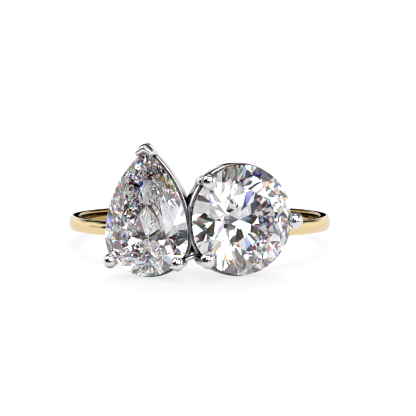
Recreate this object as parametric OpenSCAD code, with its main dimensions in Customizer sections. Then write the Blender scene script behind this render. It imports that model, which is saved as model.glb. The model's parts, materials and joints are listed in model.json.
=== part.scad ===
// Toi et moi ring: a pear brilliant and a round brilliant side by side on a plain gold band.
// The ring is drawn with the finger axis along Z, the stones towards -Y and the pear's tip up,
// and is then laid on its side as it rests on a table. The origin is the centre of the finger hole.

/* [Band] */
// Inside diameter, for the finger
finger_dia = 18.2; // [15:0.1:22]
// Width along the finger
band_w = 1.2; // [1:0.05:2]
// Thickness through the middle of the band
band_t = 0.85; // [0.7:0.05:1.4]
// How far the outer face falls away before its rounded edges
band_dome = 0.12; // [0.04:0.02:0.2]
// Radius of the rounded outer edges
band_edge = 0.24; // [0.1:0.02:0.3]
// Radius of the eased inner edges
band_ease = 0.2; // [0.1:0.02:0.3]

/* [Round stone] */
// Girdle diameter
round_dia = 7.86; // [6:0.05:9.5]
// Place along the finger axis
round_z = 1.09; // [0:0.01:1.5]
// Lean outwards from straight ahead, in degrees
round_tilt = 25.5; // [10:0.5:30]
// Share of the diameter taken by the table
round_table = 0.56; // [0.5:0.01:0.65]
// Angle of the main facets above the girdle, in degrees
round_crown = 34.5; // [30:0.5:38]
// Angle of the main facets below the girdle, in degrees
round_pavilion = 40.8; // [39:0.1:42]

/* [Pear stone] */
// Width across the rounded head
pear_w = 6.16; // [5.5:0.02:8]
// Length from the middle of the head to the tip
pear_tip = 6.3; // [5:0.02:9]
// Length from the middle of the head to its foot, less than half of the width
pear_foot = 2.68; // [2.2:0.02:2.74]
// Place along the finger axis of the middle of the head
pear_z = -0.17; // [-1.5:0.01:0.5]
// Lean outwards from straight ahead, in degrees
pear_tilt = 17; // [10:0.5:30]
// Turn of the tip to the left, in degrees
pear_turn = 0.8; // [0:0.2:8]
// Share of the outline taken by the table
pear_table = 0.58; // [0.5:0.01:0.65]
// Height above the girdle
pear_crown_h = 0.9; // [0.7:0.02:1.2]
// Depth below the girdle
pear_depth = 2.66; // [2.2:0.02:3.2]

/* [Pair] */
// Place sideways of the line between the two stones, towards the left
pair_x = 0.68; // [0:0.01:1.5]
// Gap between the two girdles at that line
pair_gap = 0.35; // [0.3:0.01:1]
// Height of the round stone's lower point in front of the band
point_clear = 0.29; // [0.2:0.01:1]
// How far the pear's inner edge lies below the round stone's
pear_low = 0.09; // [0:0.01:0.5]

/* [Stone cut] */
// Thickness of the girdle
girdle_t = 0.16; // [0.08:0.02:0.3]
// Share of the crown's height at the lower tips of the star facets
star_drop = 0.68; // [0.55:0.01:0.8]
// Share of the depth below which the long lower facets end
lower_reach = 0.22; // [0.15:0.01:0.35]

/* [Prongs] */
// Radius of the shafts round the round stone
round_prong_r = 0.46; // [0.35:0.01:0.6]
// Radius of the shafts round the pear
pear_prong_r = 0.4; // [0.3:0.01:0.5]
// Radius of the tip beads as a share of the shaft's
bead_share = 1.22; // [1.1:0.02:1.4]
// Height of the bead centres above the girdle
bead_h = 0.44; // [0.2:0.02:0.6]
// Distance of the shafts' middle lines outside the girdle
prong_out = 0.1; // [0.05:0.01:0.2]
// Share of the shaft's radius left at its foot
foot_share = 0.8; // [0.6:0.05:0.95]
// Length of each wing of the chevron prong at the pear's tip
wing_l = 0.76; // [0.6:0.02:1.4]
// Thickness of the chevron outside the stone
wing_t = 0.36; // [0.25:0.01:0.5]
// How far the chevron's lip laps over the stone
wing_lap = 0.14; // [0.1:0.02:0.4]
// Height of the chevron's lip above the girdle
wing_h = 0.46; // [0.3:0.02:0.7]

/* [Gallery] */
// How far the upper rails stand outside the girdles
rail_out = 0.12; // [0.05:0.01:0.3]
// Width of the rails, across
rail_w = 0.45; // [0.3:0.01:0.7]
// Height of the upper rails
rail_h = 0.9; // [0.5:0.05:1.2]
// Depth of the upper rails' top edge below the girdle
rail_drop = 0.58; // [0.5:0.01:0.9]
// Share of the upper rail's outline that the lower rail has
low_share = 0.5; // [0.42:0.01:0.6]
// Height of the lower rails
low_h = 0.5; // [0.3:0.05:0.7]
// Height of the lower rail's middle above the stone's lower point
low_up = 0.7; // [0.4:0.05:1]
// Shift of the lower rails towards the middle of the band
low_shift = 0.45; // [0:0.05:0.8]

/* [Saddle] */
// Thickness of the seat that lies on the band
saddle_t = 0.5; // [0.35:0.05:0.7]
// Width of the seat along the finger
saddle_w = 1.1; // [0.8:0.05:1.4]
// How far the seat runs on past the outer prong's foot, in degrees
saddle_end = 6.7; // [4:0.1:12]
// How far the prongs' feet stand to each side of the stone's lower point, in degrees round the band
foot_spread = 3.5; // [2:0.1:5]
// How far the outer feet stand to each side of the band's middle, along the finger
foot_out = 0.2; // [0:0.01:0.3]

/* [Fit] */
// Gap between each stone and the metal round it
stone_gap = 0.02; // [0.01:0.01:0.05]
// Gap between the seat and the band
solder_gap = 0.02; // [0:0.01:0.05]

/* [Hidden] */
$fn = 64;

finger_r = finger_dia / 2;
band_r = finger_r + band_t;
round_r = round_dia / 2;
pear_a = pear_w / 2;

// Heights of the two stones above and below their girdles
round_crown_h = round_r * (1 - round_table) * tan(round_crown);
round_depth = round_r * tan(round_pavilion);

// Heights of the two girdles in front of the band, and the middles of the two stones
round_rise = round_depth * cos(round_tilt) + point_clear;
pear_rise = round_rise + round_r * sin(round_tilt) - pear_a * sin(pear_tilt) - pear_low;
round_at = [
    -pair_x + pair_gap / 2 + round_r * cos(round_tilt),
    -(band_r + round_rise),
    round_z
];
pear_at = [
    -pair_x - pair_gap / 2 - pear_a * cos(pear_tilt),
    -(band_r + pear_rise),
    pear_z
];

// Azimuths of the eight main facets, and of the points between them
mains = [for (k = [0 : 7]) k * 45];
half_step = 22.5;
// Spacing of the corners along the girdles
girdle_step = 7.5;

// Pear outline: two long wing arcs that meet at the tip, two cheek arcs and a foot arc
wing_r = (pow(pear_tip, 2) + pow(pear_a, 2)) / (2 * pear_a);
cheek_share = 0.85;
cheek_r = cheek_share * pear_foot;
foot_r = (pow(pear_a - cheek_r, 2) + pow(pear_foot, 2) - pow(cheek_r, 2)) / (2 * (pear_foot - cheek_r));

// Distance from the origin along azimuth a to a circle round c with radius r
function reach(c, r, a) =
    let (along = c * [cos(a), sin(a)])
    along + sqrt(pow(along, 2) - c * c + r * r);
function side(a) = cos(a) < 0 ? -1 : 1;
// Azimuth folded into the right half, from -90 to 90
function folded(a) = asin(sin(a));
// Centre and radius of the arc that holds azimuth a of the pear
function pear_centre(a) =
    let (f = folded(a))
    f >= 0 ? [-side(a) * (wing_r - pear_a), 0]
    : f > foot_turn ? [side(a) * (pear_a - cheek_r), 0]
    : [0, foot_r - pear_foot];
function pear_radius(a) =
    let (f = folded(a))
    f >= 0 ? wing_r : f > foot_turn ? cheek_r : foot_r;
// Azimuth, seen from the middle of the head, at which cheek and foot arcs meet
foot_turn = let (
        c = [pear_a - cheek_r, 0],
        d = [pear_a - cheek_r, pear_foot - foot_r],
        p = c + d / norm(d) * cheek_r
    )
    atan2(p[1], p[0]);

// Point of a girdle at azimuth a, grown outwards by g; is_pear picks the stone
function edge(is_pear, a, g = 0) =
    let (
        c = is_pear ? pear_centre(a) : [0, 0],
        r = (is_pear ? pear_radius(a) : round_r) + g
    )
    reach(c, r, a) * [cos(a), sin(a)];
// Outward direction of the girdle at azimuth a; the pear's tip and foot face straight along its axis
function facing(is_pear, a) =
    let (d = edge(is_pear, a) - (is_pear ? pear_centre(a) : [0, 0]))
    abs(cos(a)) < 0.001 ? [0, sin(a)] : d / norm(d);
function outline(is_pear, g = 0, share = 1) =
    [for (a = [0 : girdle_step : 360 - girdle_step]) edge(is_pear, a, g) * share];

function table_of(is_pear) = is_pear ? pear_table : round_table;
function crown_of(is_pear) = is_pear ? pear_crown_h : round_crown_h;
function depth_of(is_pear) = is_pear ? pear_depth : round_depth;
function lift(p, z) = [p[0], p[1], z];
function across(d) = [-d[1], d[0]];

// Planes are [point, outward normal]
function plane_of(a, b, c) =
    let (n = cross(b - a, c - a))
    [a, (n * a < 0 ? -1 : 1) * n / norm(n)];
function bezel(is_pear, a) =
    let (g = edge(is_pear, a))
    plane_of(
        lift(g, 0),
        lift(g + across(facing(is_pear, a)), 0),
        lift(g * table_of(is_pear), crown_of(is_pear))
    );
function main_below(is_pear, a) =
    let (g = edge(is_pear, a))
    plane_of(
        lift(g, -girdle_t),
        lift(g + across(facing(is_pear, a)), -girdle_t),
        [0, 0, -depth_of(is_pear)]
    );
// Point at height z on the line where two planes meet
function meet(p, q, z) =
    let (
        n = p[1], m = q[1],
        dn = n * p[0] - n[2] * z,
        dm = m * q[0] - m[2] * z,
        det = n[0] * m[1] - n[1] * m[0]
    )
    [(dn * m[1] - dm * n[1]) / det, (n[0] * dm - m[0] * dn) / det, z];
function star_point(is_pear, a) =
    meet(bezel(is_pear, a), bezel(is_pear, a + 2 * half_step), star_drop * crown_of(is_pear));
function low_point(is_pear, a) =
    meet(
        main_below(is_pear, a),
        main_below(is_pear, a + 2 * half_step),
        -depth_of(is_pear) * (1 - lower_reach) - girdle_t * lower_reach
    );
// Point of the girdle's top or bottom edge at azimuth a, on the facet that meets it there
function girdle_point(is_pear, a, above) =
    let (
        step = 2 * half_step,
        from = step * floor(a / step),
        nearer = a - from > half_step ? from + step : from,
        z = above ? 0 : -girdle_t,
        inner = above ? star_point(is_pear, from) : low_point(is_pear, from),
        f = plane_of(
            lift(edge(is_pear, nearer), z),
            lift(edge(is_pear, from + half_step), z),
            inner
        ),
        g = edge(is_pear, a)
    )
    [g[0], g[1], (f[1] * f[0] - f[1][0] * g[0] - f[1][1] * g[1]) / f[1][2]];
function stone_points(is_pear) = concat(
    [for (a = mains) lift(edge(is_pear, a) * table_of(is_pear), crown_of(is_pear))],
    [for (a = mains) star_point(is_pear, a)],
    [for (a = [0 : girdle_step : 360 - girdle_step], above = [true, false]) girdle_point(is_pear, a, above)],
    [for (a = mains) low_point(is_pear, a)],
    [[0, 0, -depth_of(is_pear)]]
);

// Turns a vector about X or Z
function about_x(v, a) = [v[0], v[1] * cos(a) - v[2] * sin(a), v[1] * sin(a) + v[2] * cos(a)];
function about_z(v, a) = [v[0] * cos(a) - v[1] * sin(a), v[0] * sin(a) + v[1] * cos(a), v[2]];
// A point of a stone's own frame, table towards +Z, in the frame of the upright ring
function in_ring(is_pear, p) =
    is_pear
    ? pear_at + about_z(about_x(about_z(p, pear_turn), 90), -pear_tilt)
    : round_at + about_z(about_x(p, 90), round_tilt);

// Angle round the band of a stone's lower point
function under(is_pear) =
    let (c = in_ring(is_pear, [0, 0, -depth_of(is_pear)]))
    atan2(c[0], -c[1]);
saddle_span = max(-under(true), under(false)) + foot_spread + saddle_end;

// Azimuths of the prongs round each stone
round_prongs = [135, 222.5, -2];
pear_prongs = [-35.5, 211.5];
rail_low = rail_drop + rail_h;

// How the ring lies: on the foot of both upper rails and on the back of the band
touch_pear = in_ring(true, [0, -(pear_foot + rail_out), -rail_low]);
touch_round = in_ring(false, [0, -(round_r + rail_out), -rail_low]);
touch_back = [0, band_r - band_dome - band_edge, -band_w / 2];
rest_n = let (n = cross(touch_round - touch_pear, touch_back - touch_pear)) n / norm(n);
rest_roll = atan2(-rest_n[0], norm([rest_n[1], rest_n[2]]));
rest_pitch = atan2(rest_n[1], rest_n[2]);

module laid() {
    rotate([0, rest_roll, 0])
        rotate([rest_pitch, 0, 0])
            children();
}

module at_pear() {
    translate(pear_at)
        rotate([90, 0, -pear_tilt])
            rotate([0, 0, pear_turn])
                children();
}

module at_round() {
    translate(round_at)
        rotate([90, 0, round_tilt])
            children();
}

module at_stone(is_pear) {
    if (is_pear) at_pear() children();
    else at_round() children();
}

// All facets of a brilliant are flat and it is convex, so its corners fix its shape
module brilliant(is_pear) {
    corners = stone_points(is_pear);
    hull()
        polyhedron(corners, [[for (k = [0 : len(corners) - 1]) k]]);
}

// Room for a stone with its gap, cut out of the metal that holds it
module stone_room(is_pear) {
    minkowski() {
        brilliant(is_pear);
        cube(2 * stone_gap, center = true);
    }
}

// Ring with straight walls that follows a stone's outline, grown outwards by out, times share
module hoop(is_pear, out, wide, tall, share = 1) {
    past = 1;
    difference() {
        linear_extrude(tall)
            if (is_pear) polygon(outline(true, out, share));
            else circle((round_r + out) * share);
        translate([0, 0, -past])
            linear_extrude(tall + 2 * past)
                if (is_pear) polygon(outline(true, out - wide / share, share));
                else circle((round_r + out) * share - wide);
    }
}

// Straight tapered rod between two points
module rod(p, q, r1, r2) {
    d = q - p;
    translate(p)
        rotate([0, acos(d[2] / norm(d)), atan2(d[1], d[0])])
            cylinder(h = norm(d), r1 = r1, r2 = r2);
}

// Rod through a row of points, with a ball a little fatter than the rod at each bend
module wire(points, r1, r2) {
    last = len(points) - 1;
    knuckle = 1.06;
    for (k = [0 : last - 1]) {
        ra = r1 + (r2 - r1) * k / last;
        rb = r1 + (r2 - r1) * (k + 1) / last;
        rod(points[k], points[k + 1], ra, rb);
        if (k > 0)
            translate(points[k]) sphere(ra * knuckle);
    }
}

// Foot of a prong on the saddle, by its steps round the band from under the stone and along the finger
function on_saddle(is_pear, step, up) =
    let (
        r = band_r + solder_gap + saddle_t / 2,
        turn = under(is_pear) + step * foot_spread
    )
    [r * sin(turn), -r * cos(turn), up * foot_out];

low_z = [for (is_pear = [false, true]) -depth_of(is_pear) + low_up];
function low_at(is_pear) = [0, -low_shift, low_z[is_pear ? 1 : 0]];

// A prong's way from under its bead, past both rails, to the saddle
function prong_way(is_pear, a, foot) =
    let (
        e = edge(is_pear, a, prong_out),
        low = edge(is_pear, a, rail_out) * low_share
    )
    [
        in_ring(is_pear, lift(e, bead_h)),
        in_ring(is_pear, lift(e, -rail_low + rail_h / 3)),
        in_ring(is_pear, lift(low, 0) + low_at(is_pear)),
        foot
    ];

module prong(is_pear, a, r, foot) {
    way = prong_way(is_pear, a, foot);
    wire(way, r, r * foot_share);
    translate(way[0]) sphere(r * bead_share);
}

module rail(is_pear) {
    translate([0, 0, -rail_low])
        hoop(is_pear, rail_out, rail_w, rail_h);
}

module low_rail(is_pear) {
    translate(low_at(is_pear) - [0, 0, low_h / 2])
        hoop(is_pear, rail_out, rail_w, low_h, low_share);
}

// Chevron that folds over the pear's tip, down to the rail
module chevron() {
    slope = atan2(pear_tip, wing_r - pear_a);
    tip = [0, pear_tip];
    half = [
        tip + [0, wing_t / sin(slope)],
        tip + wing_l * [sin(slope), -cos(slope)] + wing_t * [cos(slope), sin(slope)],
        tip + wing_l * [sin(slope), -cos(slope)] - wing_lap * [cos(slope), sin(slope)],
        tip - [0, wing_lap / sin(slope)]
    ];
    translate([0, 0, -rail_low])
        linear_extrude(rail_low + wing_h)
            for (s = [-1, 1])
                polygon([for (p = half) [s * p[0], p[1]]]);
}

// Tapered leg from under the chevron to the saddle
module tip_leg() {
    way = [
        in_ring(true, [0, pear_tip, -rail_low + rail_h / 3]),
        in_ring(true, lift(edge(true, 90) * low_share, 0) + low_at(true)),
        on_saddle(true, 0, 1)
    ];
    wire(way, pear_prong_r, pear_prong_r * foot_share);
}

// Section through the band: a shallow dome outside, rounded and eased edges
module band_section() {
    n = 6;
    half = band_w / 2;
    flat = half - band_edge;
    dome_r = (pow(flat, 2) + pow(band_dome, 2)) / (2 * band_dome);
    crown = [for (k = [-n : n]) let (z = flat * k / n)
        [band_r - dome_r + sqrt(pow(dome_r, 2) - pow(z, 2)), z]];
    edge_x = band_r - band_dome - band_edge;
    top_out = [for (k = [1 : n]) let (a = 90 * k / n) [edge_x + band_edge * cos(a), flat + band_edge * sin(a)]];
    ease_x = finger_r + band_ease;
    top_in = [for (k = [0 : n - 1]) let (a = 90 + 90 * k / n)
        [ease_x + band_ease * cos(a), half - band_ease + band_ease * sin(a)]];
    upper = concat(crown, top_out, top_in);
    polygon(concat(
        upper,
        [[finger_r, half - band_ease], [finger_r, -(half - band_ease)]],
        [for (k = [len(top_in) - 1 : -1 : 0]) [top_in[k][0], -top_in[k][1]]],
        [for (k = [len(top_out) - 1 : -1 : 0]) [top_out[k][0], -top_out[k][1]]]
    ));
}

module shank() {
    color("goldenrod")
        laid()
            rotate_extrude() band_section();
}

// Seat on the band; it starts well inside the room that is cut for the band
module saddle() {
    r_out = band_r + solder_gap + saddle_t;
    far = 2 * band_r;
    intersection() {
        rotate_extrude()
            translate([finger_r, -saddle_w / 2])
                square([r_out - finger_r, saddle_w]);
        translate([0, 0, -saddle_w])
            linear_extrude(2 * saddle_w)
                polygon([[0, 0], [-far * tan(saddle_span), -far], [far * tan(saddle_span), -far]]);
    }
}

// Room for the band under the saddle and the prongs' feet
module band_room() {
    cylinder(h = 2 * round_dia, r = band_r + solder_gap, center = true);
}

module head() {
    color("gainsboro")
        laid()
            difference() {
                union() {
                    saddle();
                    for (is_pear = [false, true])
                        at_stone(is_pear) {
                            rail(is_pear);
                            low_rail(is_pear);
                        }
                    at_pear() chevron();
                    prong(false, round_prongs[0], round_prong_r, on_saddle(false, -1, 1));
                    prong(false, round_prongs[1], round_prong_r, on_saddle(false, -1, -1));
                    prong(false, round_prongs[2], round_prong_r, on_saddle(false, 1, 0));
                    prong(true, pear_prongs[0], pear_prong_r, on_saddle(true, 1, -1));
                    prong(true, pear_prongs[1], pear_prong_r, on_saddle(true, -1, -1));
                    tip_leg();
                }
                for (is_pear = [false, true]) at_stone(is_pear) stone_room(is_pear);
                band_room();
            }
}

module pear_diamond() {
    color("lightcyan")
        laid() at_pear() brilliant(true);
}

module round_diamond() {
    color("white")
        laid() at_round() brilliant(false);
}

shank();
head();
pear_diamond();
round_diamond();
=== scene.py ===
# Toi et moi ring lying on a pale floor: yellow gold band, white gold head, pear and round diamonds
import json
import math

import bmesh
import bpy
from mathutils import Matrix, Vector


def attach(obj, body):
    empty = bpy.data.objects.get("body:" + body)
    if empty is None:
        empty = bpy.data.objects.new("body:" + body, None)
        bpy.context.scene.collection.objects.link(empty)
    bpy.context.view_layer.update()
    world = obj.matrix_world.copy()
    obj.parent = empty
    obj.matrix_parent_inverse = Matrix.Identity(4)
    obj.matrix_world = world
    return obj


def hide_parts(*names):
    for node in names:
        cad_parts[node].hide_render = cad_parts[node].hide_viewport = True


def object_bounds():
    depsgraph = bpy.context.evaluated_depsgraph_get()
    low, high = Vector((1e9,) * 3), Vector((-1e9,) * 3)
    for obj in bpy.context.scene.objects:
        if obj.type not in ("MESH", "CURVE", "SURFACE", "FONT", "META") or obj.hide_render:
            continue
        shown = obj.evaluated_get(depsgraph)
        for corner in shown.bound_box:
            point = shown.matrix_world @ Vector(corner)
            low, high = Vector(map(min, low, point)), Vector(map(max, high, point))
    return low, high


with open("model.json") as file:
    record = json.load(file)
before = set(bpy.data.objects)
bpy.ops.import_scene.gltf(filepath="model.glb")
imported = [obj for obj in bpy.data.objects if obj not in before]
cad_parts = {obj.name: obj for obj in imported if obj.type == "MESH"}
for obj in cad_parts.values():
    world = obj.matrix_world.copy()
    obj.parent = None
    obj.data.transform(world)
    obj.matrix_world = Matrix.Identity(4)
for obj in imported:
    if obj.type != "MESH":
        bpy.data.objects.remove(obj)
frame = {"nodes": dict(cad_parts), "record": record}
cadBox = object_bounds()
scene = bpy.context.scene
print("frame loaded:", ", ".join(sorted(frame["nodes"])))

# The pieces are drawn in mm on an upright ring, finger axis along Z and stones towards -Y,
# and laid on the floor with the lean that the finger hole has in the frame
boreAxis = Vector(frame["record"]["mounts"][0]["axis"]).normalized()
lean = Matrix.Rotation(math.atan2(boreAxis.x, boreAxis.z), 4, "Y")
lean = lean @ Matrix.Rotation(-math.asin(boreAxis.y), 4, "X")
layDown = lean @ Matrix.Scale(0.001, 4)


# Cutting and bending helpers

def faceOutwards(bm):
    # turns every closed shell of a piece the right way out
    bmesh.ops.recalc_face_normals(bm, faces=bm.faces)
    left = set(bm.faces)
    while left:
        shell = [left.pop()]
        for face in shell:
            for edge in face.edges:
                for other in edge.link_faces:
                    if other in left:
                        left.discard(other)
                        shell.append(other)
        volume = 0.0
        for face in shell:
            points = [v.co for v in face.verts]
            for p, q in zip(points[1:], points[2:]):
                volume += points[0].dot(p.cross(q))
        if volume < 0:
            bmesh.ops.reverse_faces(bm, faces=shell)


def addPiece(name, bm, material, stands, smooth=True):
    faceOutwards(bm)
    bm.transform(layDown)
    mesh = bpy.data.meshes.new(name)
    bm.to_mesh(mesh)
    bm.free()
    mesh.polygons.foreach_set("use_smooth", [smooth] * len(mesh.polygons))
    mesh.materials.append(material)
    piece = bpy.data.objects.new(name, mesh)
    scene.collection.objects.link(piece)
    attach(piece, "root")
    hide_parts(stands)
    print(name, "made:", len(mesh.polygons), "faces")
    return piece


def skinRings(bm, rings, place, loop):
    rows = [[bm.verts.new(place @ Vector(p)) for p in ring] for ring in rings]
    pairs = list(zip(rows, rows[1:]))
    if loop:
        pairs.append((rows[-1], rows[0]))
    for near, far in pairs:
        for i in range(len(near)):
            j = (i + 1) % len(near)
            bm.faces.new((near[i], near[j], far[j], far[i]))
    if not loop:
        bm.faces.new(rows[0])
        bm.faces.new(rows[-1])


def roundedBox(wide, tall, corner, steps=5):
    # outline of a rounded rectangle round its own middle
    points = []
    for k, (sx, sy) in enumerate([(1, 1), (-1, 1), (-1, -1), (1, -1)]):
        for i in range(steps + 1):
            a = math.radians(90 * (k + i / steps))
            x = sx * (wide / 2 - corner) + corner * math.cos(a)
            y = sy * (tall / 2 - corner) + corner * math.sin(a)
            points.append((x, y))
    return points


def smoothWay(points, steps):
    # a curve through all the points, rounded at each
    points = [Vector(p) for p in points]
    ends = [2 * points[0] - points[1]] + points + [2 * points[-1] - points[-2]]
    way = []
    for k in range(len(points) - 1):
        a, b, c, d = ends[k:k + 4]
        for i in range(steps):
            t = i / steps
            way.append(0.5 * ((2 * b) + (c - a) * t + (2 * a - 5 * b + 4 * c - d) * t * t
                              + (3 * b - a - 3 * c + d) * t * t * t))
    way.append(points[-1])
    return way


def addRod(bm, way, startRadius, endRadius, sides=32):
    rings = []
    aside = None
    for k, p in enumerate(way):
        along = (way[min(k + 1, len(way) - 1)] - way[max(k - 1, 0)]).normalized()
        if aside is None:
            aside = along.orthogonal().normalized()
        aside = (aside - along * aside.dot(along)).normalized()
        over = along.cross(aside)
        r = startRadius + (endRadius - startRadius) * k / (len(way) - 1)
        turns = [2 * math.pi * i / sides for i in range(sides)]
        rings.append([p + r * (math.cos(a) * aside + math.sin(a) * over) for a in turns])
    skinRings(bm, rings, Matrix.Identity(4), loop=False)


def addBall(bm, middle, radius, tall=1.0, sides=56, rows=28):
    # a ball, a little taller than wide along the finger axis, with a tiny flat at each pole
    flat = 0.004
    rings = []
    for k in range(rows + 1):
        up = math.pi * (flat + (1 - 2 * flat) * k / rows) - math.pi / 2
        r = radius * math.cos(up)
        z = radius * tall * math.sin(up)
        turns = [2 * math.pi * i / sides for i in range(sides)]
        rings.append([middle + Vector((r * math.cos(a), r * math.sin(a), z)) for a in turns])
    skinRings(bm, rings, Matrix.Identity(4), loop=False)


# Stones: sizes and places in mm and degrees

roundStone = {
    "middle": (3.042, -13.302, 1.09),
    "tilt": 25.5,
    "turn": 0.0,
    "radius": 3.93,
    "table": 0.56,
    "crown": 1.188,
    "depth": 3.392,
}
pearStone = {
    "middle": (-3.800, -14.003, -0.17),
    "tilt": -17.0,
    "turn": 0.8,
    "half": 3.08,
    "tip": 6.3,
    "foot": 2.68,
    "cheek": 0.85,  # of the foot
    "table": 0.58,
    "crown": 0.9,
    "depth": 2.66,
}
stoneCut = {
    "girdle": 0.16,
    "starDrop": 0.68,  # height of the stars' outer points, of the crown
    "lowerReach": 0.22,  # how far the lower halves stay from the culet, of the depth
    "girdleStep": 1.875,  # degrees
    "sameFacet": 0.4,  # degrees, less is one flat facet
}


def seatOf(stone):
    # the stone's own frame, table upwards, set on edge and turned to its place
    tilt = Matrix.Rotation(math.radians(stone["tilt"]), 4, "Z")
    onEdge = Matrix.Rotation(math.radians(90), 4, "X")
    turn = Matrix.Rotation(math.radians(stone["turn"]), 4, "Z")
    return Matrix.Translation(stone["middle"]) @ tilt @ onEdge @ turn


def pearArc(stone, angle):
    # middle and radius of the arc of the pear's outline that holds this direction
    a, tip, foot = stone["half"], stone["tip"], stone["foot"]
    side = -1 if math.cos(angle) < 0 else 1
    folded = math.asin(max(-1.0, min(1.0, math.sin(angle))))
    wing = (tip ** 2 + a ** 2) / (2 * a)
    cheek = stone["cheek"] * foot
    base = ((a - cheek) ** 2 + foot ** 2 - cheek ** 2) / (2 * (foot - cheek))
    toFoot = Vector((a - cheek, foot - base)).normalized() * cheek
    footTurn = math.atan2(toFoot.y, a - cheek + toFoot.x)
    if folded >= 0:
        return Vector((-side * (wing - a), 0)), wing
    if folded > footTurn:
        return Vector((side * (a - cheek), 0)), cheek
    return Vector((0, base - foot)), base


def edgeOf(stone, angle, grow=0.0):
    # point of the girdle in this direction, grown outwards
    middle, radius = (Vector((0, 0)), stone["radius"]) if "radius" in stone else pearArc(stone, angle)
    ray = Vector((math.cos(angle), math.sin(angle)))
    along = middle.dot(ray)
    return ray * (along + math.sqrt(along ** 2 - middle.dot(middle) + (radius + grow) ** 2))


def facingOf(stone, angle):
    # the way the girdle faces there; tip and foot of the pear face straight along it
    middle = Vector((0, 0)) if "radius" in stone else pearArc(stone, angle)[0]
    if abs(math.cos(angle)) < 0.001:
        return Vector((0, math.sin(angle)))
    return (edgeOf(stone, angle) - middle).normalized()


def planeOf(a, b, c):
    n = (b - a).cross(c - a).normalized()
    return a, n if n.dot(a) > 0 else -n


def brilliantCorners(stone):
    girdle, table, crown, depth = stoneCut["girdle"], stone["table"], stone["crown"], stone["depth"]
    step = math.radians(45)
    mains = [step * k for k in range(8)]
    culet = Vector((0, 0, -depth))

    def up(p, z):
        return Vector((p.x, p.y, z))

    def mainFacet(angle, above):
        g = edgeOf(stone, angle)
        f = facingOf(stone, angle)
        z = 0.0 if above else -girdle
        inner = up(g * table, crown) if above else culet
        return planeOf(up(g, z), up(g + Vector((-f.y, f.x)), z), inner)

    def meet(p, q, z):
        n, m = p[1], q[1]
        dn, dm = n.dot(p[0]) - n.z * z, m.dot(q[0]) - m.z * z
        det = n.x * m.y - n.y * m.x
        return Vector(((dn * m.y - dm * n.y) / det, (n.x * dm - m.x * dn) / det, z))

    def starPoint(angle):
        return meet(mainFacet(angle, True), mainFacet(angle + step, True), stoneCut["starDrop"] * crown)

    def lowPoint(angle):
        reach = stoneCut["lowerReach"]
        z = -depth * (1 - reach) - girdle * reach
        return meet(mainFacet(angle, False), mainFacet(angle + step, False), z)

    stars = [starPoint(a) for a in mains]
    lows = [lowPoint(a) for a in mains]
    corners = [up(edgeOf(stone, a) * table, crown) for a in mains] + stars + lows + [culet]
    count = round(360 / stoneCut["girdleStep"])
    hair = 1e-9
    for k in range(count):
        angle = 2 * math.pi * k / count
        sector = int(angle / step + hair)
        nearer = sector + 1 if angle - sector * step > step / 2 + hair else sector
        g = edgeOf(stone, angle)
        for above in (True, False):
            z = 0.0 if above else -girdle
            inner = stars[sector % 8] if above else lows[sector % 8]
            main, middle = edgeOf(stone, nearer * step), edgeOf(stone, (sector + 0.5) * step)
            at, n = planeOf(up(main, z), up(middle, z), inner)
            corners.append(up(g, (n.dot(at) - n.x * g.x - n.y * g.y) / n.z))
    return corners


def cutStone(name, stone, material):
    bm = bmesh.new()
    for p in brilliantCorners(stone):
        bm.verts.new(p)
    hull = bmesh.ops.convex_hull(bm, input=bm.verts)
    spare = [v for v in hull["geom_interior"] if isinstance(v, bmesh.types.BMVert)]
    bmesh.ops.delete(bm, geom=spare, context="VERTS")
    flat = math.radians(stoneCut["sameFacet"])
    bmesh.ops.dissolve_limit(bm, angle_limit=flat, verts=bm.verts, edges=bm.edges)
    bm.transform(seatOf(stone))
    return addPiece(name, bm, material, name.replace("_cut", ""), smooth=False)


# Finishes

def newMaterial(name):
    material = bpy.data.materials.new(name)
    material.use_nodes = True
    material.node_tree.nodes.clear()
    return material, material.node_tree


def calc(tree, kind, a, b=None, clamp=False):
    # one arithmetic node; each input is a number or another node's output
    m = tree.nodes.new("ShaderNodeMath")
    m.operation = kind
    m.use_clamp = clamp
    for socket, value in zip(m.inputs, (a, b)):
        if isinstance(value, (int, float)):
            socket.default_value = value
        elif value is not None:
            tree.links.new(value, socket)
    return m.outputs[0]


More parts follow.
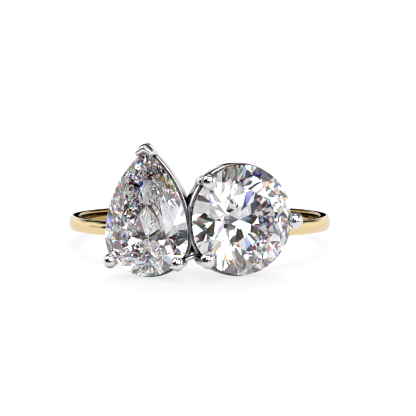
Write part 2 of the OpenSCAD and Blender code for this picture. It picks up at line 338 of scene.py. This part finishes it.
def polishedMetal(name, finish):
    material, tree = newMaterial(name)
    node, link = tree.nodes.new, tree.links.new
    out = node("ShaderNodeOutputMaterial")
    metal = node("ShaderNodeBsdfPrincipled")
    metal.inputs["Metallic"].default_value = 1.0
    coords = node("ShaderNodeTexCoord")

    def ramp(value, low, high):
        # 0 at the low value, 1 at the high one
        r = node("ShaderNodeMapRange")
        r.inputs["From Min"].default_value = low
        r.inputs["From Max"].default_value = high
        link(value, r.inputs["Value"])
        return r.outputs["Result"]

    # painted shade: the base colour is darkened a little more for each bounce from metal to metal,
    # so hidden corners go dark; seen through a stone the metal stays bright
    path = node("ShaderNodeLightPath")
    throughGlass = calc(tree, "MINIMUM", path.outputs["Transmission Depth"], 1.0)
    times = calc(tree, "MINIMUM", path.outputs["Ray Depth"], finish["shadedBounces"])
    times = calc(tree, "MULTIPLY", times, calc(tree, "SUBTRACT", 1.0, throughGlass))
    bounceShade = calc(tree, "POWER", finish["shadePerBounce"], times)
    # painted shade: crevices go dark too, darkened by an ambient occlusion probe
    nook = node("ShaderNodeAmbientOcclusion")
    nook.samples = finish["creviceSamples"]
    nook.inputs["Distance"].default_value = finish["creviceReach"]
    creviceShade = ramp(nook.outputs["AO"], finish["creviceBlack"], finish["creviceClear"])
    creviceShade = calc(tree, "MAXIMUM", creviceShade, throughGlass)
    # painted shade: the wall that faces the finger is painted a darker colour, as if in shadow
    away = node("ShaderNodeVectorMath")
    away.operation = "NORMALIZE"
    link(coords.outputs["Object"], away.inputs[0])
    facing = node("ShaderNodeVectorMath")
    facing.operation = "DOT_PRODUCT"
    link(away.outputs["Vector"], facing.inputs[0])
    link(coords.outputs["Normal"], facing.inputs[1])
    inside = node("ShaderNodeMix")
    inside.data_type = "RGBA"
    inside.inputs["A"].default_value = finish["inside"]
    inside.inputs["B"].default_value = finish["colour"]
    link(ramp(facing.outputs["Value"], *finish["insideTurn"]), inside.inputs["Factor"])
    shade = node("ShaderNodeVectorMath")
    shade.operation = "SCALE"
    link(inside.outputs["Result"], shade.inputs[0])
    link(calc(tree, "MULTIPLY", bounceShade, creviceShade), shade.inputs["Scale"])
    link(shade.outputs[0], metal.inputs["Base Color"])
    scratches = node("ShaderNodeTexNoise")
    scratches.inputs["Scale"].default_value = finish["scratchScale"]
    scratches.inputs["Detail"].default_value = finish["scratchDetail"]
    link(coords.outputs["Object"], scratches.inputs["Vector"])
    gloss = node("ShaderNodeMapRange")
    gloss.inputs["To Min"].default_value = finish["roughLow"]
    gloss.inputs["To Max"].default_value = finish["roughHigh"]
    link(scratches.outputs["Fac"], gloss.inputs["Value"])
    link(gloss.outputs["Result"], metal.inputs["Roughness"])
    waves = node("ShaderNodeTexNoise")
    waves.inputs["Scale"].default_value = finish["waveScale"]
    link(coords.outputs["Object"], waves.inputs["Vector"])
    bump = node("ShaderNodeBump")
    bump.inputs["Strength"].default_value = finish["waveStrength"]
    bump.inputs["Distance"].default_value = finish["waveHeight"]
    link(waves.outputs["Fac"], bump.inputs["Height"])
    link(bump.outputs["Normal"], metal.inputs["Normal"])
    link(metal.outputs["BSDF"], out.inputs["Surface"])
    return material


yellowGold = polishedMetal("yellow_gold_polish", {
    "colour": (1.0, 0.79, 0.42, 1.0),
    # painted shade of the wall that faces the finger
    "inside": (0.56, 0.39, 0.12, 1.0),
    "insideTurn": (-0.7, -0.1),  # facing the finger, no longer facing it
    # painted shade for each bounce from metal to metal
    "shadePerBounce": 0.5,
    "shadedBounces": 6.0,
    # painted shade in crevices
    "creviceSamples": 4,
    "creviceReach": 0.0006,
    "creviceBlack": -1.0,
    "creviceClear": 0.8,
    "roughLow": 0.02,
    "roughHigh": 0.06,
    "scratchScale": 9000.0,
    "scratchDetail": 4.0,
    "waveScale": 900.0,
    "waveHeight": 0.00002,
    "waveStrength": 0.01,
})
whiteGold = polishedMetal("white_gold_polish", {
    "colour": (0.93, 0.92, 0.93, 1.0),
    "inside": (0.93, 0.92, 0.93, 1.0),
    "insideTurn": (-0.7, -0.1),
    # painted shade for each bounce from metal to metal
    "shadePerBounce": 0.55,
    "shadedBounces": 1.0,
    # painted shade in crevices
    "creviceSamples": 4,
    "creviceReach": 0.0018,
    "creviceBlack": 0.30,
    "creviceClear": 0.75,
    "roughLow": 0.01,
    "roughHigh": 0.04,
    "scratchScale": 9000.0,
    "scratchDetail": 4.0,
    "waveScale": 900.0,
    "waveHeight": 0.00002,
    "waveStrength": 0.03,
})

diamondFinish = {
    "tint": (0.98, 0.99, 1.0, 1.0),
    "ior": 2.417,
    "fire": 0.030,  # how far apart red and blue bend
    "fireShare": 0.65,  # how much of the light parts
}


def clearDiamond(finish):
    material, tree = newMaterial("clear_diamond")
    node, link = tree.nodes.new, tree.links.new
    # one clear body for the exported model
    out = node("ShaderNodeOutputMaterial")
    body = node("ShaderNodeBsdfPrincipled")
    body.inputs["Base Color"].default_value = finish["tint"]
    body.inputs["Transmission Weight"].default_value = 1.0
    body.inputs["Roughness"].default_value = 0.0
    body.inputs["IOR"].default_value = finish["ior"]
    link(body.outputs["BSDF"], out.inputs["Surface"])
    # some of the light parts into red, green and blue where it comes in, which gives the fire
    fireOut = node("ShaderNodeOutputMaterial")
    fireOut.target = "CYCLES"

    def glass(colour, bend):
        g = node("ShaderNodeBsdfGlass")
        g.distribution = "BECKMANN"
        g.inputs["Color"].default_value = colour
        g.inputs["Roughness"].default_value = 0.0
        g.inputs["IOR"].default_value = bend
        return g.outputs["BSDF"]

    def join(a, b):
        both = node("ShaderNodeAddShader")
        link(a, both.inputs[0])
        link(b, both.inputs[1])
        return both.outputs["Shader"]

    red, green, blue = [glass(colour, finish["ior"] + finish["fire"] * (k - 1))
                        for k, colour in enumerate([(1, 0, 0, 1), (0, 1, 0, 1), (0, 0, 1, 1)])]
    path = node("ShaderNodeLightPath")
    pick = node("ShaderNodeMixShader")
    link(calc(tree, "MULTIPLY", path.outputs["Is Camera Ray"], finish["fireShare"]), pick.inputs["Fac"])
    link(glass((1, 1, 1, 1), finish["ior"]), pick.inputs[1])
    link(join(join(red, green), blue), pick.inputs[2])
    link(pick.outputs["Shader"], fireOut.inputs["Surface"])
    out.is_active_output = True
    return material


diamond = clearDiamond(diamondFinish)
print("finishes ready")


# Band

band = {
    "finger": 9.1,
    "thick": 0.848,
    "wide": 1.197,
    "wideAtHead": 1.04,
    "taperFrom": 80,  # degrees round from the back
    "taperTo": 125,
    "dome": 0.12,
    "edge": 0.24,
    "ease": 0.2,
    "domeSteps": 20,
    "edgeSteps": 8,
    "rings": 360,
}


def bandSection():
    # points (distance from the axis, share of the half width); the dome, the edges, the eased inside
    half = band["wide"] / 2
    outer = band["finger"] + band["thick"]
    flat = half - band["edge"]
    meet = 2 * math.atan2(band["dome"], flat)  # slope where dome and edge run into each other
    domeRadius = flat / math.sin(meet) + band["edge"]
    edgeAt = outer - band["dome"] - band["edge"]
    easeAt = band["finger"] + band["ease"]
    dome = []
    for k in range(band["domeSteps"] + 1):
        a = meet * (2 * k / band["domeSteps"] - 1)
        dome.append((outer - domeRadius * (1 - math.cos(a)), domeRadius * math.sin(a)))
    side = []
    for k in range(1, band["edgeSteps"] + 1):
        a = meet + (math.pi / 2 - meet) * k / band["edgeSteps"]
        side.append((edgeAt + band["edge"] * math.cos(a), flat + band["edge"] * math.sin(a)))
    for k in range(band["edgeSteps"] + 1):
        a = math.pi / 2 * (1 + k / band["edgeSteps"])
        across = half - band["ease"] + band["ease"] * math.sin(a)
        side.append((easeAt + band["ease"] * math.cos(a), across))
    otherSide = [(r, -z) for r, z in reversed(side)]
    return [(r, z / half) for r, z in dome + side + [(band["finger"], 0)] + otherSide]


def bendBand():
    bm = bmesh.new()
    section = bandSection()
    rings = []
    for k in range(band["rings"]):
        a = 2 * math.pi * k / band["rings"]
        fromBack = abs(math.degrees(math.atan2(math.sin(a), math.cos(a))))
        t = max(0.0, min(1.0, (fromBack - band["taperFrom"]) / (band["taperTo"] - band["taperFrom"])))
        share = t * t * (3 - 2 * t)
        half = (band["wide"] + (band["wideAtHead"] - band["wide"]) * share) / 2
        rings.append([(r * math.sin(a), r * math.cos(a), z * half) for r, z in section])
    skinRings(bm, rings, Matrix.Identity(4), loop=True)
    return addPiece("band", bm, yellowGold, "shank")


bendBand()


# Head

prongs = {
    "roundAngles": (135, 222.5, -2),
    "pearAngles": (-35.5, 211.5),
    "roundRadius": 0.46,
    "pearRadius": 0.40,
    "out": 0.10,
    "beadShare": 1.2,
    "beadTall": 1.115,
    "beadUp": 0.44,
    "bends": ((1.0, 0.3), (0.98, 0.65), (0.9, 1.0)),  # share outwards, share of the basket's depth
    "footShare": 0.8,
    "footSpread": 3.5,  # degrees
    "footOut": 0.2,
    "waySteps": 8,
    "legFrom": 2 / 3,  # where the leg at the pear's point leaves the rail, of the rail's height
    "legSteps": 12,
}
gallery = {
    "out": 0.12,
    "wide": 0.45,
    "tall": 0.9,
    "drop": 0.58,
    "corner": 0.10,
    "lowShare": 0.5,
    "lowTall": 0.5,
    "lowUp": 0.7,
    "lowShift": 0.45,
    "stations": 192,
}
saddle = {
    "thick": 0.5,
    "wide": 1.1,
    "half": 25,  # degrees to each side
    "gap": 0.02,
    "corner": 0.12,
    "stations": 48,
}
chevron = {
    "half": 0.68,  # how far the middle of each arm reaches to the side
    "apexWide": 0.66,
    "armWide": 0.44,
    "slope": 0.95,  # sideways for each mm down
    "bend": 0.30,
    "out": 0.11,
    "up": 0.46,
    "edgeUp": 0.0,
    "low": -0.75,
    "narrowing": 1.5,  # higher keeps the broad part nearer to the point
    "rounding": 6,  # higher keeps the arms wide for longer
    "endShare": 0.02,  # width that is left at their very ends
    "stations": 48,
    "domeSteps": 16,
}
bridge = {
    "radius": 0.17,
    "down": -0.42,  # where it leaves the prongs, from the girdle
    "peak": (-0.41, -14.0, -1.45),
    "lift": 0.06,
}


def onSaddle(stone, step, up):
    # foot of a prong on the saddle; up is -1, 0 or 1 for below, at or above its middle
    point = seatOf(stone) @ Vector((0, 0, -stone["depth"]))
    turn = math.atan2(point.x, -point.y) + math.radians(step * prongs["footSpread"])
    r = band["finger"] + band["thick"] + saddle["gap"] + saddle["thick"] / 2
    return Vector((r * math.sin(turn), -r * math.cos(turn), up * prongs["footOut"]))


def lowMiddle(stone):
    return Vector((0, -gallery["lowShift"], -stone["depth"] + gallery["lowUp"]))


def addProng(bm, stone, degrees, radius, foot):
    angle = math.radians(degrees)
    seat = seatOf(stone)
    e = edgeOf(stone, angle, prongs["out"])
    low = edgeOf(stone, angle, gallery["out"]) * gallery["lowShare"]
    bottom = gallery["drop"] + gallery["tall"]
    way = [seat @ Vector((e.x, e.y, prongs["beadUp"]))]
    for share, down in prongs["bends"]:
        way.append(seat @ Vector((e.x * share, e.y * share, -bottom * down)))
    way += [seat @ (Vector((low.x, low.y, 0)) + lowMiddle(stone)), foot]
    addRod(bm, smoothWay(way, prongs["waySteps"]), radius, radius * prongs["footShare"])
    addBall(bm, way[0], radius * prongs["beadShare"], prongs["beadTall"])


def addRail(bm, stone, middle, share, wide, tall):
    section = roundedBox(wide, tall, gallery["corner"])
    seat = seatOf(stone)
    rings = []
    for k in range(gallery["stations"]):
        angle = 2 * math.pi * k / gallery["stations"]
        g = edgeOf(stone, angle, gallery["out"]) * share
        f = facingOf(stone, angle)
        at = middle + Vector((g.x, g.y, 0))
        rings.append([at + Vector((f.x * (u - wide / 2), f.y * (u - wide / 2), v)) for u, v in section])
    skinRings(bm, rings, seat, loop=True)


def addBridge(bm):
    # two short bars that join the lower prongs between the stones
    peak = Vector(bridge["peak"])
    for stone, degrees in ((pearStone, prongs["pearAngles"][0]), (roundStone, prongs["roundAngles"][1])):
        e = edgeOf(stone, math.radians(degrees), prongs["out"])
        start = seatOf(stone) @ Vector((e.x, e.y, bridge["down"]))
        bow = (start + peak) / 2 + Vector((0, 0, bridge["lift"]))
        addRod(bm, smoothWay([start, bow, peak], prongs["waySteps"]), bridge["radius"], bridge["radius"])
    addBall(bm, peak, bridge["radius"], sides=24, rows=12)


def addSaddle(bm):
    section = roundedBox(saddle["thick"], saddle["wide"], saddle["corner"])
    r = band["finger"] + band["thick"] + saddle["gap"] + saddle["thick"] / 2
    rings = []
    for k in range(saddle["stations"] + 1):
        a = math.radians(saddle["half"] * (2 * k / saddle["stations"] - 1))
        rings.append([((r + u) * math.sin(a), -(r + u) * math.cos(a), v) for u, v in section])
    skinRings(bm, rings, Matrix.Identity(4), loop=False)


def addChevron(bm, stone):
    # a domed cap bent over the pear's point, its section swept from one arm to the other
    slope, bend, low = chevron["slope"], chevron["bend"], chevron["low"]
    count = chevron["stations"]
    rings = []
    for k in range(count + 1):
        s = math.sin(math.pi * (k / count - 0.5))
        x = s * chevron["half"]
        drop = math.sqrt((x / slope) ** 2 + bend ** 2) - bend
        middle = Vector((x, stone["tip"] + chevron["out"] - drop))
        along = Vector((1, -x / (slope ** 2 * (drop + bend)))).normalized()
        out = Vector((-along.y, along.x))
        broad = (1 - abs(s)) ** chevron["narrowing"]
        wide = chevron["armWide"] + (chevron["apexWide"] - chevron["armWide"]) * broad
        end = math.sqrt(max(0.0, 1 - abs(s) ** chevron["rounding"])) + chevron["endShare"]
        half = wide / 2 * end
        dome = (chevron["up"] - chevron["edgeUp"]) * end
        ring = [(-half, low), (half, low)]
        for i in range(chevron["domeSteps"] + 1):
            turn = math.pi * i / chevron["domeSteps"]
            ring.append((half * math.cos(turn), chevron["edgeUp"] + dome * math.sin(turn)))
        rings.append([(middle.x + out.x * u, middle.y + out.y * u, z) for u, z in ring])
    skinRings(bm, rings, seatOf(stone), loop=False)


def solderHead():
    bm = bmesh.new()
    for stone in (roundStone, pearStone):
        drop = Vector((0, 0, -(gallery["drop"] + gallery["tall"] / 2)))
        addRail(bm, stone, drop, 1.0, gallery["wide"], gallery["tall"])
        addRail(bm, stone, lowMiddle(stone), gallery["lowShare"], gallery["wide"], gallery["lowTall"])
    addSaddle(bm)
    feet = ((-1, 1), (-1, -1), (1, 0))
    for degrees, (step, up) in zip(prongs["roundAngles"], feet):
        addProng(bm, roundStone, degrees, prongs["roundRadius"], onSaddle(roundStone, step, up))
    for degrees, (step, up) in zip(prongs["pearAngles"], ((1, -1), (-1, -1))):
        addProng(bm, pearStone, degrees, prongs["pearRadius"], onSaddle(pearStone, step, up))
    seat = seatOf(pearStone)
    tipLow = -(gallery["drop"] + gallery["tall"] * prongs["legFrom"])
    low = edgeOf(pearStone, math.pi / 2, gallery["out"]) * gallery["lowShare"]
    leg = [
        seat @ Vector((0, pearStone["tip"], tipLow)),
        seat @ (Vector((low.x, low.y, 0)) + lowMiddle(pearStone)),
        onSaddle(pearStone, 0, 1),
    ]
    thin = prongs["pearRadius"] * prongs["footShare"]
    addRod(bm, smoothWay(leg, prongs["legSteps"]), prongs["pearRadius"], thin)
    addChevron(bm, pearStone)
    addBridge(bm)
    return addPiece("prong_head", bm, whiteGold, "head")


solderHead()
cutStone("pear_diamond_cut", pearStone, diamond)
cutStone("round_diamond_cut", roundStone, diamond)


# Studio: pale floor, pale dome with dark and bright cards, a soft lamp and the camera

studio = {
    "behind": (1.0, 1.0, 1.0, 1.0),
    "dome": (0.90, 0.90, 0.90, 1.0),  # what the metal and the stones mirror
    "floor": (0.22, 0.21, 0.23, 1.0),
    "floorGlow": (0.78, 0.785, 0.775, 1.0),
    "floorHalf": 1.5,  # m
    "bounces": 15,
    "floorBounces": 3,
    "filterWidth": 1.1,
}
# degrees to the right of the camera's side, degrees over the floor, half width, half height,
# softness of the edge, colour; later cards hang in front of earlier ones
cards = [
    (0, -46, 180, 46, 0.5, (0.82, 0.81, 0.84, 1)),
    (0, 35, 98, 37, 3.0, (0.0, 0.0, 0.0, 1)),
    (180, 6, 5, 9, 0.5, (0.0, 0.0, 0.0, 1)),
    (180, 36, 48, 19, 6.0, (0.0, 0.0, 0.0, 1)),
    (180, 44, 72, 16, 6.0, (0.0, 0.0, 0.0, 1)),
    (-38, -9, 46, 7, 1.5, (0.03, 0.03, 0.03, 1)),
    (0, 71, 180, 4, 2.0, (0.0, 0.0, 0.0, 1)),
    (-84, 40, 14, 20, 1.5, (2.5, 2.5, 2.5, 1)),
    (-58, 44, 9, 12, 1.5, (2.5, 2.5, 2.5, 1)),
    (-15, 31, 9, 13, 1.5, (2.5, 2.5, 2.5, 1)),
    (14, 25, 9, 14, 1.5, (2.5, 2.5, 2.5, 1)),
    (38, 30, 9, 20, 1.5, (2.5, 2.5, 2.5, 1)),
    (76, 16, 13, 16, 1.5, (2.5, 2.5, 2.5, 1)),
    (0, 55, 64, 7, 1.5, (2.5, 2.5, 2.5, 1)),
    (-107, 4, 7, 6, 1.5, (0.5, 0.5, 0.5, 1)),
    (60, 32, 13, 5, 0.8, (0.85, 0.55, 0.15, 1)),
    (88, 44, 12, 8, 0.8, (0.02, 0.10, 0.8, 1)),
    (-4, 42, 4, 4, 0.5, (0.05, 0.8, 1.5, 1)),
    (5, 14, 4, 3, 0.5, (0.03, 0.06, 0.9, 1)),
    (-22, 16, 4, 3, 0.5, (1.2, 0.6, 0.25, 1)),
    (26, 12, 3, 4, 0.5, (1.1, 0.7, 0.9, 1)),
    (-36, 50, 5, 4, 0.5, (0.7, 0.6, 0.25, 1)),
    (24, 44, 4, 4, 0.5, (0.25, 0.35, 1.5, 1)),
]


def hangWorld():
    world = bpy.data.worlds.new("studio")
    scene.world = world
    world.use_nodes = True
    tree = world.node_tree
    tree.nodes.clear()
    node, link = tree.nodes.new, tree.links.new

    def within(value, half, soft):
        # 1 inside the half width, falling to 0 over the soft edge
        gap = calc(tree, "SUBTRACT", half + soft, calc(tree, "ABSOLUTE", value))
        return calc(tree, "DIVIDE", gap, 2 * soft, clamp=True)

    coords = node("ShaderNodeTexCoord")
    colour = None
    for turn, height, wide, tall, soft, paint in cards:
        spin = node("ShaderNodeVectorRotate")
        spin.rotation_type = "Z_AXIS"
        spin.inputs["Angle"].default_value = -math.radians(turn)
        link(coords.outputs["Generated"], spin.inputs["Vector"])
        parts = node("ShaderNodeSeparateXYZ")
        link(spin.outputs["Vector"], parts.inputs["Vector"])
        side = calc(tree, "ARCTAN2", parts.outputs["X"], calc(tree, "MULTIPLY", parts.outputs["Y"], -1.0))
        rise = calc(tree, "SUBTRACT", calc(tree, "ARCSINE", parts.outputs["Z"]), math.radians(height))
        edge = math.radians(soft)
        mask = calc(tree, "MULTIPLY", within(side, math.radians(wide), edge),
                    within(rise, math.radians(tall), edge))
        mix = node("ShaderNodeMix")
        mix.data_type = "RGBA"
        link(mask, mix.inputs["Factor"])
        if colour is None:
            mix.inputs["A"].default_value = studio["dome"]
        else:
            link(colour, mix.inputs["A"])
        mix.inputs["B"].default_value = paint
        colour = mix.outputs["Result"]
    seen = node("ShaderNodeLightPath")
    behind = node("ShaderNodeBackground")
    behind.inputs["Color"].default_value = studio["behind"]
    dome = node("ShaderNodeBackground")
    link(colour, dome.inputs["Color"])
    pick = node("ShaderNodeMixShader")
    out = node("ShaderNodeOutputWorld")
    link(seen.outputs["Is Camera Ray"], pick.inputs["Fac"])
    link(dome.outputs["Background"], pick.inputs[1])
    link(behind.outputs["Background"], pick.inputs[2])
    link(pick.outputs["Shader"], out.inputs["Surface"])


lamp = {
    "strength": 2.3,
    "spread": 45.0,  # degrees, wider is softer
    "height": 50.0,  # degrees over the floor, behind the ring
}


def hangLamp():
    # throws the ring's soft shadow on the floor in front of it
    light = bpy.data.lights.new("soft_lamp", "SUN")
    light.energy = lamp["strength"]
    light.angle = math.radians(lamp["spread"])
    holder = bpy.data.objects.new("soft_lamp", light)
    holder.rotation_euler = (math.radians(lamp["height"] - 90), 0, 0)
    holder.visible_glossy = False
    holder.visible_transmission = False
    scene.collection.objects.link(holder)


def layFloor():
    material, tree = newMaterial("pale_floor")
    node, link = tree.nodes.new, tree.links.new
    out = node("ShaderNodeOutputMaterial")
    matt = node("ShaderNodeBsdfDiffuse")
    matt.inputs["Color"].default_value = studio["floor"]
    lift = node("ShaderNodeEmission")
    lift.inputs["Color"].default_value = studio["floorGlow"]
    both = node("ShaderNodeAddShader")
    link(matt.outputs["BSDF"], both.inputs[0])
    link(lift.outputs["Emission"], both.inputs[1])
    link(both.outputs["Shader"], out.inputs["Surface"])
    bm = bmesh.new()
    bmesh.ops.create_grid(bm, x_segments=2, y_segments=2, size=studio["floorHalf"])
    mesh = bpy.data.meshes.new("floor")
    bm.to_mesh(mesh)
    bm.free()
    mesh.materials.append(material)
    floor = bpy.data.objects.new("floor", mesh)
    floor.location.z = cadBox[0][2]
    floor.visible_glossy = False  # the lowest card stands in for it in the metal and the stones
    floor.visible_transmission = False
    scene.collection.objects.link(floor)


view = {
    "away": 200.0,  # mm from the middle of the finger hole
    "above": 4.2,  # degrees over the ring's own plane
    "lens": 226.7,  # mm, on a sensor 36 mm wide
    "sensor": 36.0,
    "near": 0.01,  # m
    "far": 20.0,
    "aimRight": 0.63,  # mm from the middle of the finger hole
    "aimUp": 1.05,
}


def setCamera():
    up = math.radians(view["above"])
    eye = Vector((0, -view["away"] * math.cos(up), view["away"] * math.sin(up)))
    right = Vector((1, 0, 0))
    over = Vector((0, math.sin(up), math.cos(up)))
    aim = view["aimRight"] * right + view["aimUp"] * over
    back = (eye - aim).normalized()
    side = over.cross(back).normalized()
    top = back.cross(side)
    pose = Matrix((side, top, back)).transposed().to_4x4()
    camera = bpy.data.cameras.new("camera")
    camera.lens = view["lens"]
    camera.sensor_width = view["sensor"]
    camera.clip_start = view["near"]
    camera.clip_end = view["far"]
    holder = bpy.data.objects.new("camera", camera)
    scene.collection.objects.link(holder)
    holder.matrix_world = Matrix.Translation(lean @ (eye * 0.001)) @ (lean @ pose)
    scene.camera = holder


hangWorld()
hangLamp()
layFloor()
setCamera()

scene.cycles.max_bounces = studio["bounces"]
scene.cycles.glossy_bounces = studio["bounces"]
scene.cycles.transmission_bounces = studio["bounces"]
scene.cycles.diffuse_bounces = studio["floorBounces"]
scene.cycles.use_adaptive_sampling = False
scene.cycles.filter_width = studio["filterWidth"]
scene.cycles.use_denoising = True
scene.cycles.denoising_input_passes = "RGB"
scene.cycles.caustics_reflective = True
scene.cycles.caustics_refractive = True
scene.view_settings.view_transform = "Standard"
print("studio ready")
